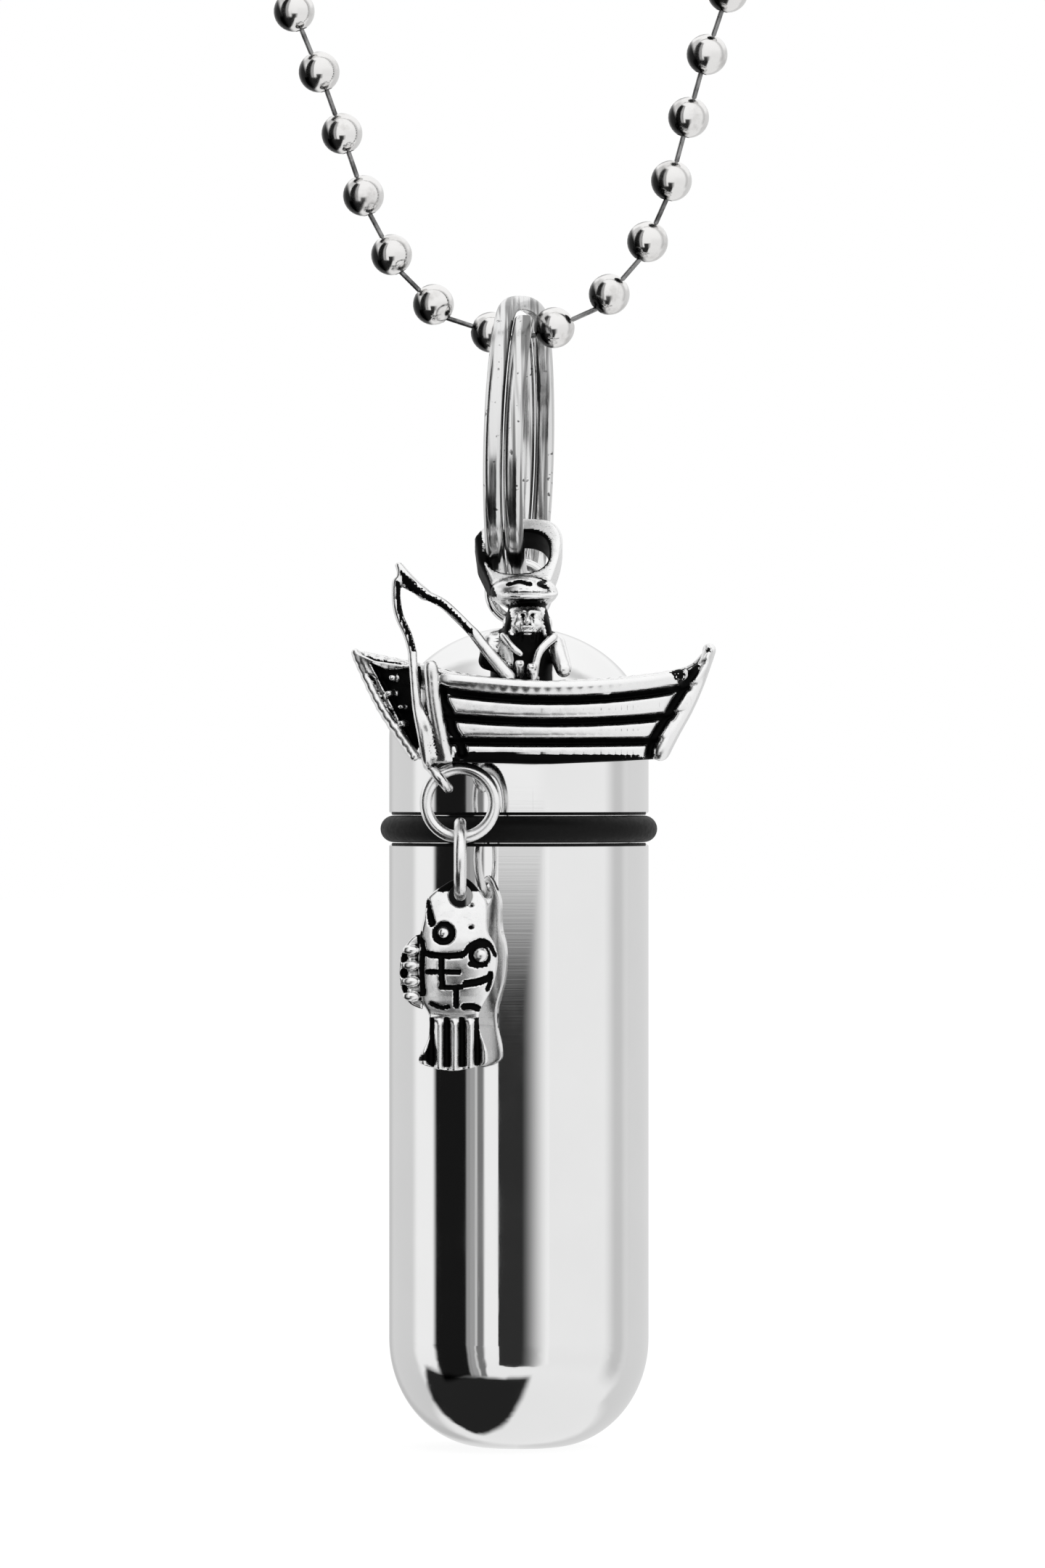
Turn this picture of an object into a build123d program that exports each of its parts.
"""Keepsake capsule pendant: screw-top capsule, split ring, ball chain and an angler-in-boat charm.

Units are millimetres. The origin is the centre of the capsule's flat bottom, +Z is up
and -Y is the front, the side that the charm hangs on.
"""

import os
from math import acos, cos, degrees, pi, radians, sin, sqrt

from build123d import *

# Capsule
CAPSULE_R = 6.35
FLAT_R = 1.6
BOTTOM_RISE = 5.3
BARREL_TOP = 29.53
WALL = 1.35
BORE_R = CAPSULE_R - WALL
O_RING_SECTION_R = 0.65
O_RING_R = 6.12
O_RING_GAP = 0.03
NECK_R = 5.36
NECK_CLEARANCE = 0.06
NECK_DEPTH = 0.55
SPIGOT_ROOT_R = 4.45
SPIGOT_DEPTH = 4.6
SPIGOT_BORE_R = 3.6
CAP_CHAMBER_R = 4.8
CAP_WALL_HEIGHT = 3.8
DOME_RISE = 5.4
DOME_THICKNESS = 1.3
EDGE_ROUND = 0.15

SHOULDER_Z = BARREL_TOP + 2 * (O_RING_SECTION_R + O_RING_GAP)
DOME_BASE_Z = SHOULDER_Z + CAP_WALL_HEIGHT
DOME_TOP_Z = DOME_BASE_Z + DOME_RISE

# Split ring: two flat coils side by side
RING_R = 7.1
COIL_WIDTH = 0.93
COIL_GAP = 0.04
COIL_THICKNESS = 0.7
CROSSING_ANGLE = 180   # where the ring crosses from one coil to the other; 0 is its lowest point
COIL_ROUND = 0.33
RING_SETBACK = 1.5
RING_LEAN = 1.5
RING_TWIST = -6.2
RING_END_ANGLE = 32
RING_CROSSING_HALF_ANGLE = 24
RING_CENTRE_HEIGHT = sqrt(RING_R**2 - RING_SETBACK**2)

# Eyelet riveted into the dome
EYELET_HOLE_R = 1.12
EYELET_WIRE_R = 0.28
EYELET_Z = DOME_TOP_Z + EYELET_HOLE_R + 2 * EYELET_WIRE_R + 0.02
STEM_R = 0.4
STEM_CLEARANCE = 0.01
RIVET_R = 0.8
RIVET_HEIGHT = 0.5
RIVET_GAP = 0.1

# Ball chain
BEAD_R = 1.0
BEAD_SKIN = 0.15
BEAD_HOLE_R = 0.3
CHAIN_PITCH = 3.2
WIRE_R = 0.12
HEAD_R = 0.33
HEAD_REACH = 0.58
PIVOT_R = BEAD_R - BEAD_SKIN / 2
LINK_SPAN = CHAIN_PITCH - 2 * PIVOT_R
SEAT_DROP = 1.63
SEAT_TILT = 6.0
EXIT_ANGLE = {"left": 70.0, "right": 68.0}
LOWER_BARS = (43.0, 26.0, 17.0, 17.5, 20.5, 20.0, 12.0, 4.0)
LOOP_LEAN = 2.0
BAR_ANGLES = LOWER_BARS + tuple(-angle for angle in reversed(LOWER_BARS))
BARS_PER_BODY = 4
SIDES = {"left": -1, "right": 1}

# Snap connector that closes the chain
CLASP_SHEET = 0.25
CLASP_OVERHANG = 1.35
CLASP_SKIRT = 0.85
CLASP_CLEARANCE = 0.04
CLASP_ROUNDING = 0.8
CLASP_PINCH_R = 0.45
CLASP_PINCH_REACH = 0.35

# Charm: one casting, flat at the back
CHARM_BACK = -6.95
CHARM_MIDDLE = -8.8
LOOP_ANGLE = 36
LOOP_HOLE_R = 1.1
LOOP_WALL = 0.65
LOOP_THICKNESS = 1.3
HULL_WALL = 0.5
HULL_FLOOR = 1.0
HEAD_CENTRE = (0.1, -7.9, 40.3)
HAT_CENTRE = (0.0, -7.0, 41.5)
ROD_R = 0.24
LINE_R = 0.22

# Small rings and the fish
RING_WIRE_R = 0.3
LINE_RING_R = 1.65
LINE_RING_CENTRE = (-2.8, CHARM_MIDDLE, 31.5)
LINE_EYE_ANGLE = 130
LINE_EYE_HOLE_R = 0.5
LINE_EYE_WIRE_R = 0.25
LINK_R = 1.7
HANG_GAP = 0.05
FISH_LENGTH = 9.0
FISH_WIDTH = 4.4
FISH_THICKNESS = 2.2
FISH_NOSE_THICKNESS = 0.9
FISH_TAIL_THICKNESS = 0.8
FISH_HOLE_R = 0.55
FISH_HANG_GAP = 0.1
FISH_TOP_WALL = 0.5


def ring_location():
    """Place of the split ring's own frame, whose origin is the wire's centre inside the eyelet."""
    return Location((0, 0, EYELET_Z), (0, RING_LEAN, RING_TWIST))


def ring_point(angle):
    """Wire centre at an angle forward from the ring's lowest point, in the ring's own frame."""
    a = radians(angle)
    return Vector(0, -RING_SETBACK - RING_R * sin(a), RING_CENTRE_HEIGHT - RING_R * cos(a))


def placed(location, point):
    """A point given in a location's frame, as a world vector."""
    return (location * Location(point)).position


def capsule_barrel():
    """Turned tube with a rounded bottom, open at the top, with a counterbore for the cap's neck."""
    inner_rise = BOTTOM_RISE - WALL
    counterbore_r = NECK_R + NECK_CLEARANCE
    counterbore_z = BARREL_TOP - NECK_DEPTH - NECK_CLEARANCE
    with BuildPart() as barrel:
        with BuildSketch(Plane.XZ):
            with BuildLine():
                Polyline((0, 0), (FLAT_R, 0))
                EllipticalCenterArc(
                    (FLAT_R, BOTTOM_RISE), CAPSULE_R - FLAT_R, BOTTOM_RISE, start_angle=270, arc_size=90
                )
                Polyline(
                    (CAPSULE_R, BOTTOM_RISE),
                    (CAPSULE_R, BARREL_TOP - EDGE_ROUND),
                    (CAPSULE_R - EDGE_ROUND, BARREL_TOP),
                    (counterbore_r, BARREL_TOP),
                    (counterbore_r, counterbore_z),
                    (BORE_R, counterbore_z),
                    (BORE_R, BOTTOM_RISE),
                )
                EllipticalCenterArc(
                    (FLAT_R, BOTTOM_RISE), BORE_R - FLAT_R, inner_rise, start_angle=270, arc_size=90
                )
                Polyline((FLAT_R, WALL), (0, WALL), (0, 0))
            make_face()
        revolve(axis=Axis.Z)
    return barrel.part


def capsule_cap():
    """Domed cap with an O-ring neck and a hollow spigot; the spigot's wall is the thread's root."""
    neck_end = BARREL_TOP - NECK_DEPTH
    spigot_end = neck_end - SPIGOT_DEPTH
    inner_rise = DOME_RISE - DOME_THICKNESS
    hole_r = STEM_R + STEM_CLEARANCE
    with BuildPart() as cap:
        with BuildSketch(Plane.XZ):
            with BuildLine():
                Polyline(
                    (CAP_CHAMBER_R, DOME_BASE_Z),
                    (CAP_CHAMBER_R, SHOULDER_Z + EDGE_ROUND),
                    (SPIGOT_BORE_R, SHOULDER_Z),
                    (SPIGOT_BORE_R, spigot_end),
                    (SPIGOT_ROOT_R - EDGE_ROUND, spigot_end),
                    (SPIGOT_ROOT_R, spigot_end + EDGE_ROUND),
                    (SPIGOT_ROOT_R, neck_end),
                    (NECK_R, neck_end),
                    (NECK_R, SHOULDER_Z),
                    (CAPSULE_R - EDGE_ROUND, SHOULDER_Z),
                    (CAPSULE_R, SHOULDER_Z + EDGE_ROUND),
                    (CAPSULE_R, DOME_BASE_Z),
                )
                outside = EllipticalCenterArc(
                    (0, DOME_BASE_Z),
                    CAPSULE_R,
                    DOME_RISE,
                    start_angle=0,
                    arc_size=degrees(acos(hole_r / CAPSULE_R)),
                )
                inside = EllipticalCenterArc(
                    (0, DOME_BASE_Z),
                    CAP_CHAMBER_R,
                    inner_rise,
                    start_angle=0,
                    arc_size=degrees(acos(hole_r / CAP_CHAMBER_R)),
                )
                Line(outside @ 1, inside @ 1)
            make_face()
        revolve(axis=Axis.Z)
    return cap.part


def cap_o_ring():
    """Rubber ring between the barrel's mouth and the cap's shoulder."""
    middle = (BARREL_TOP + SHOULDER_Z) / 2
    return Pos(0, 0, middle) * Torus(O_RING_R, O_RING_SECTION_R)


def cap_eyelet():
    """Wire eye on a stem that is riveted over inside the dome."""
    under_dome = DOME_TOP_Z - DOME_THICKNESS - RIVET_HEIGHT / 2 - STEM_CLEARANCE
    stem_top = EYELET_Z - EYELET_HOLE_R - EYELET_WIRE_R
    stem_length = stem_top - under_dome
    eye = Pos(0, 0, EYELET_Z) * Rot(90, 0, 0) * Torus(EYELET_HOLE_R + EYELET_WIRE_R, EYELET_WIRE_R)
    stem = Pos(0, 0, under_dome + stem_length / 2) * Cylinder(STEM_R, stem_length)
    rivet = Pos(0, 0, under_dome - RIVET_GAP) * Cylinder(RIVET_R, RIVET_HEIGHT)
    return eye + stem + rivet


def split_ring():
    """Two turns of flat wire; the wire crosses from one coil to the other at the top of the ring."""
    step = COIL_WIDTH + COIL_GAP
    first_end = 360 - RING_CROSSING_HALF_ANGLE
    second_start = 360 + RING_CROSSING_HALF_ANGLE

    def section(turn_angle):
        from_crossing = max(-1, min(1, (turn_angle - 360) / RING_CROSSING_HALF_ANGLE))
        a = radians(turn_angle - CROSSING_ANGLE)
        centre = (step / 2 * sin(from_crossing * pi / 2), -RING_R * sin(a), -RING_R * cos(a))
        plane = Plane(origin=centre, x_dir=(1, 0, 0), z_dir=(0, -cos(a), sin(a)))
        return plane * RectangleRounded(COIL_WIDTH, COIL_THICKNESS, COIL_ROUND)

    def coil(start, end):
        return revolve(section(start), axis=Axis((0, 0, 0), (-1, 0, 0)), revolution_arc=end - start)

    crossing_angles = range(first_end, second_start + 1, RING_CROSSING_HALF_ANGLE // 3)
    crossing = loft([section(angle) for angle in crossing_angles])
    ring = coil(RING_END_ANGLE, first_end) + crossing + coil(second_start, 720 - RING_END_ANGLE)
    return ring_location() * Pos(0, -RING_SETBACK, RING_CENTRE_HEIGHT) * ring


def chain_bead(centre, angle, side):
    """Hollow bead with a hole at each end of its axis, which leans outwards by the angle."""
    bead = Sphere(BEAD_R) - Sphere(BEAD_R - BEAD_SKIN) - Cylinder(BEAD_HOLE_R, 3 * BEAD_R)
    return Location(centre, (0, chain_turn(angle, side), 0)) * bead


def chain_link(pivot, angle, side):
    """Wire with a head at each end, from one bead's exit pivot to the next bead's entry pivot."""
    length = LINK_SPAN + 2 * HEAD_REACH
    wire = Pos(0, 0, LINK_SPAN / 2) * Cylinder(WIRE_R, length)
    low_head = Pos(0, 0, -HEAD_REACH) * Sphere(HEAD_R)
    high_head = Pos(0, 0, LINK_SPAN + HEAD_REACH) * Sphere(HEAD_R)
    return Location(pivot, (0, chain_turn(angle, side), 0)) * (wire + low_head + high_head)


def chain_turn(angle, side):
    """Turn from vertical about +Y for an outward angle, with the whole loop's lean to the left."""
    return side * angle - LOOP_LEAN


def lean(angle, side):
    """Unit vector in the chain's plane for an outward angle."""
    turn = radians(chain_turn(angle, side))
    return Vector(sin(turn), 0, cos(turn))


def chain_bar(pivot, angle, side):
    """A bead and the link that leaves it, and the pivot at the link's far end."""
    direction = lean(angle, side)
    bead = chain_bead(pivot + direction * PIVOT_R, angle, side)
    link = chain_link(pivot + direction * (2 * PIVOT_R), angle, side)
    return bead, link, pivot + direction * CHAIN_PITCH


def seat_centre():
    """Middle of the link that passes under the top of the split ring."""
    return placed(ring_location(), ring_point(180)) - Vector(0, 0, SEAT_DROP)


def seat_pivot(side):
    """Entry pivot of the seat bead on one side."""
    along = Vector(cos(radians(SEAT_TILT)), 0, sin(radians(SEAT_TILT)))
    return seat_centre() + along * (side * LINK_SPAN / 2)


def chain_seat():
    """The two beads in the split ring, the link between them and the links that leave them."""
    beads = []
    links = [chain_link(seat_pivot(-1), 90 - SEAT_TILT + LOOP_LEAN, 1)]
    ends = {}
    for name, side in SIDES.items():
        bead, link, ends[name] = chain_bar(seat_pivot(side), EXIT_ANGLE[name], side)
        beads.append(bead)
        links.append(link)
    return beads, links, ends


def chain_side(start, side):
    """Bodies of one side of the loop from the seat to the connector, and the last pivot."""
    bodies = []
    pivot = start
    for first in range(0, len(BAR_ANGLES), BARS_PER_BODY):
        beads = []
        links = []
        for angle in BAR_ANGLES[first : first + BARS_PER_BODY]:
            bead, link, pivot = chain_bar(pivot, angle, side)
            beads.append(bead)
            links.append(link)
        bodies.append((beads, links))
    return bodies, pivot


def end_bead_centre(pivot, name):
    """Centre of the bead that the connector holds on one side."""
    return pivot + lean(-EXIT_ANGLE[name], SIDES[name]) * PIVOT_R


def chain_end_beads(ends):
    """The two beads that the connector grips."""
    return [
        chain_bead(end_bead_centre(ends[name], name), -EXIT_ANGLE[name], side)
        for name, side in SIDES.items()
    ]


def chain_connector(ends):
    """Folded sheet channel over the two end beads, pinched inwards between them."""
    left = end_bead_centre(ends["left"], "left")
    right = end_bead_centre(ends["right"], "right")
    span = right - left
    tilt = span.get_angle(Vector(1, 0, 0))
    inner = BEAD_R + CLASP_CLEARANCE
    outer = inner + CLASP_SHEET
    length = span.length + 2 * CLASP_OVERHANG
    height = outer + CLASP_SKIRT
    shell = Pos(0, 0, (outer - CLASP_SKIRT) / 2) * Box(length, 2 * outer, height)
    shell = fillet(shell.edges().filter_by(Axis.X).group_by(Axis.Z)[-1], outer * CLASP_ROUNDING)
    hollow_height = inner + 2 * CLASP_SKIRT
    hollow = Pos(0, 0, inner - hollow_height / 2) * Box(2 * length, 2 * inner, hollow_height)
    hollow = fillet(hollow.edges().filter_by(Axis.X).group_by(Axis.Z)[-1], inner * CLASP_ROUNDING)
    pinch = Cylinder(CLASP_PINCH_R, 2 * outer, rotation=(90, 0, 0)) & Box(length, 2 * outer, 2 * CLASP_SKIRT)
    pinch -= Box(length, 2 * (inner - CLASP_PINCH_REACH), height)
    clasp = shell - hollow + pinch
    return Location((left + right) / 2, (0, -tilt, 0)) * clasp


def hull_section(station, inset, floor_rise):
    """Closed outline of the boat at one station: back, sheer, bilge and keel."""
    x, width, sheer, keel = station
    back = CHARM_BACK - inset
    front = CHARM_BACK - width + inset
    bottom = keel + floor_rise
    bilge = bottom + 0.3 * (sheer - bottom)
    keel_front = front + 0.35 * (back - front)
    corners = ((back, bottom), (back, sheer), (front, sheer), (front, bilge), (keel_front, bottom))
    return Face(Wire.make_polygon([Vector(x, y, z) for y, z in corners]))


def boat_hull():
    """Open boat with its stern to the left, raked at both ends, flat along its back."""
    stations = (
        (-7.7, 0.7, 38.6, 37.7),
        (-4.4, 3.9, 37.6, 33.6),
        (0.0, 4.1, 37.1, 33.25),
        (5.0, 3.6, 37.3, 33.6),
        (7.9, 2.0, 37.9, 35.8),
        (9.3, 0.6, 38.9, 38.0),
    )
    above_sheer = 39.5
    well = (
        (-5.2, 3.2, above_sheer, 34.7),
        (-4.4, 3.9, above_sheer, 33.6),
        (0.0, 4.1, above_sheer, 33.25),
        (5.0, 3.6, above_sheer, 33.6),
        (7.2, 2.4, above_sheer, 35.3),
    )
    outside = [hull_section(station, 0, 0).outer_wire() for station in stations]
    inside = [hull_section(station, HULL_WALL, HULL_FLOOR).outer_wire() for station in well]
    outer = Solid.make_loft(outside, ruled=True)
    inner = Solid.make_loft(inside, ruled=True)
    return Part(outer.wrapped) - Part(inner.wrapped)


def tapered_limb(start, end, start_r, end_r):
    """Round limb between two points, with a ball at each end."""
    a, b = Vector(*start), Vector(*end)
    plane = Plane(origin=a, z_dir=b - a)
    length = (b - a).length
    shaft = Cylinder(start_r, length) if start_r == end_r else Cone(start_r, end_r, length)
    return plane * Pos(0, 0, length / 2) * shaft + Pos(*start) * Sphere(start_r) + Pos(*end) * Sphere(end_r)


def angler():
    """Seated figure: trunk, head, arms to the hands at the gunwale, and a brimmed hat."""
    hands = (0.4, -9.9, 37.6)
    body = tapered_limb((0.1, -8.6, 34.6), (0.1, -8.2, 38.6), 1.3, 1.25)
    body += tapered_limb((0.1, -8.2, 38.4), HEAD_CENTRE, 0.9, 1.15)
    for shoulder_x, elbow_x in ((-1.4, -2.2), (1.6, 2.1)):
        shoulder = (shoulder_x, -8.2, 39.2)
        elbow = (elbow_x, -8.9, 38.3)
        body += tapered_limb(shoulder, elbow, 0.7, 0.55)
        body += tapered_limb(elbow, hands, 0.55, 0.42)
    brim = Pos(*HAT_CENTRE) * Cylinder(2.2, 0.5)
    crown = Pos(0, HAT_CENTRE[1], HAT_CENTRE[2] + 1.2) * Cone(1.9, 1.5, 2.4)
    return body + brim + crown


def hanging_loop():
    """Lug on the hat for the split ring, and the hole through it along the ring's wire."""
    place = ring_location()
    centre = placed(place, ring_point(LOOP_ANGLE))
    a = radians(LOOP_ANGLE)
    ahead = placed(place, ring_point(LOOP_ANGLE) + Vector(0, -cos(a), sin(a)))
    across = Plane(origin=centre, z_dir=ahead - centre)
    lug = across * Cylinder(LOOP_HOLE_R + LOOP_WALL, LOOP_THICKNESS)
    foot = Pos(centre.X, centre.Y - 0.5, centre.Z - 1.2) * Box(2.8, 1.5, 1.4)
    hole = across * Cylinder(LOOP_HOLE_R, 6 * LOOP_THICKNESS)
    return lug + foot, hole


def rod_and_line():
    """Rod from the hands to its tip at upper left, and the line down past the stern."""
    y = -9.9
    rod = [(0.4, y, 37.6), (-2.2, y, 39.5), (-3.9, y, 41.2), (-5.2, y, 41.9), (-5.75, y, 42.7)]
    line = [(-5.75, y, 42.7), (-5.9, y, 41.2), (-5.1, y, 38.6), (-4.5, -10.4, 35.6), line_eye_top()]
    casting = Part()
    for points, radius in ((rod, ROD_R), (line, LINE_R)):
        for start, end in zip(points, points[1:]):
            casting += tapered_limb(start, end, radius, radius)
    return casting


def line_eye_centre():
    """Centre of the cast eye at the line's lower end, on the line ring's wire."""
    x, y, z = LINE_RING_CENTRE
    a = radians(LINE_EYE_ANGLE)
    return (x + LINE_RING_R * cos(a), y, z + LINE_RING_R * sin(a))


def line_eye_top():
    """Where the line meets the cast eye."""
    x, y, z = line_eye_centre()
    reach = LINE_EYE_HOLE_R + LINE_EYE_WIRE_R
    a = radians(LINE_EYE_ANGLE)
    return (x + reach * cos(a), y, z + reach * sin(a))


def line_eye():
    """Cast eye whose hole runs along the line ring's wire."""
    a = LINE_EYE_ANGLE
    along_wire = Vector(-sin(radians(a)), 0, cos(radians(a)))
    plane = Plane(origin=line_eye_centre(), z_dir=along_wire)
    keel_strut = tapered_limb(line_eye_top(), (-3.6, CHARM_MIDDLE, 34.0), 0.3, 0.3)
    return plane * Torus(LINE_EYE_HOLE_R + LINE_EYE_WIRE_R, LINE_EYE_WIRE_R) + keel_strut


def boat_charm():
    """The whole casting."""
    lug, hole = hanging_loop()
    charm = boat_hull() + angler() + rod_and_line() + line_eye() + lug - hole
    return max(charm.solids(), key=lambda solid: solid.volume)


def line_ring():
    """Jump ring at the end of the cast line, seen face on."""
    return Pos(*LINE_RING_CENTRE) * Rot(90, 0, 0) * Torus(LINE_RING_R, RING_WIRE_R)


def fish_link_centre():
    """Centre of the link, whose top wire rests in the bottom of the line ring."""
    x, y, z = LINE_RING_CENTRE
    return (x, y, z - LINE_RING_R + 2 * RING_WIRE_R + HANG_GAP - LINK_R)


def fish_link():
    """Jump ring between the line ring and the fish, seen edge on."""
    return Pos(*fish_link_centre()) * Rot(0, 90, 0) * Torus(LINK_R, RING_WIRE_R)


def fish_charm():
    """Fish hanging by a hole in its nose: pointed head, deep body, narrow wrist and fanned tail."""
    x, y, link_z = fish_link_centre()
    hole_z = link_z - LINK_R - FISH_HOLE_R + RING_WIRE_R + FISH_HANG_GAP
    top = hole_z + FISH_HOLE_R + FISH_TOP_WALL
    half = FISH_WIDTH / 2
    wrist_z = top - 0.72 * FISH_LENGTH
    tail_z = top - FISH_LENGTH
    front_side = (
        (1, FISH_NOSE_THICKNESS, top),
        (1, FISH_NOSE_THICKNESS, hole_z - FISH_HOLE_R),
        (1, FISH_THICKNESS, top - 0.33 * FISH_LENGTH),
        (1, FISH_THICKNESS, top - 0.45 * FISH_LENGTH),
        (1, FISH_TAIL_THICKNESS, wrist_z),
        (1, FISH_TAIL_THICKNESS, tail_z),
    )
    side_outline = front_side + tuple((-side, t, z) for side, t, z in reversed(front_side))
    with BuildPart() as fish:
        with BuildSketch(Plane.XZ.offset(-y)):
            with BuildLine():
                Spline(
                    (x, top),
                    (x + 0.75, top - 0.7),
                    (x + half, top - 0.36 * FISH_LENGTH),
                    (x + 0.75, wrist_z),
                    tangents=((1, 0), (0.1, -1)),
                )
                Polyline((x + 0.75, wrist_z), (x + 1.9, tail_z), (x - 1.9, tail_z), (x - 0.75, wrist_z))
                Spline(
                    (x - 0.75, wrist_z),
                    (x - half, top - 0.36 * FISH_LENGTH),
                    (x - 0.75, top - 0.7),
                    (x, top),
                    tangents=((-0.1, 1), (1, 0)),
                )
            make_face()
        extrude(amount=FISH_THICKNESS, both=True)
        with BuildSketch(Plane.YZ.offset(x)):
            with BuildLine():
                Polyline(*[(y + side * t / 2, z) for side, t, z in side_outline], close=True)
            make_face()
        extrude(amount=FISH_WIDTH, both=True, mode=Mode.INTERSECT)
        with Locations(Location((x, y, hole_z), (90, 0, 0))):
            Cylinder(FISH_HOLE_R, 4 * FISH_THICKNESS, mode=Mode.SUBTRACT)
    return fish.part


def save(name, shapes):
    """Write one node, as a group of separate solids when it has more than one."""
    solids = [solid for shape in shapes for solid in shape.solids()]
    shape = solids[0] if len(solids) == 1 else Compound(children=solids)
    export_step(shape, f"parts/{name}.step")


def save_chain():
    """Write the nodes of the ball chain."""
    seat_beads, seat_links, starts = chain_seat()
    save("chain_seat_beads", seat_beads)
    save("chain_seat_links", seat_links)
    ends = {}
    for name, side in SIDES.items():
        bodies, ends[name] = chain_side(starts[name], side)
        for number, (beads, links) in enumerate(bodies, start=1):
            save(f"chain_beads_{name}_{number}", beads)
            save(f"chain_links_{name}_{number}", links)
    save("chain_end_beads", chain_end_beads(ends))
    save("chain_connector", [chain_connector(ends)])


def main():
    os.makedirs("parts", exist_ok=True)
    single_pieces = (
        capsule_barrel,
        capsule_cap,
        cap_o_ring,
        cap_eyelet,
        split_ring,
        boat_charm,
        line_ring,
        fish_link,
        fish_charm,
    )
    for piece in single_pieces:
        save(piece.__name__, [piece()])
    save_chain()


main()
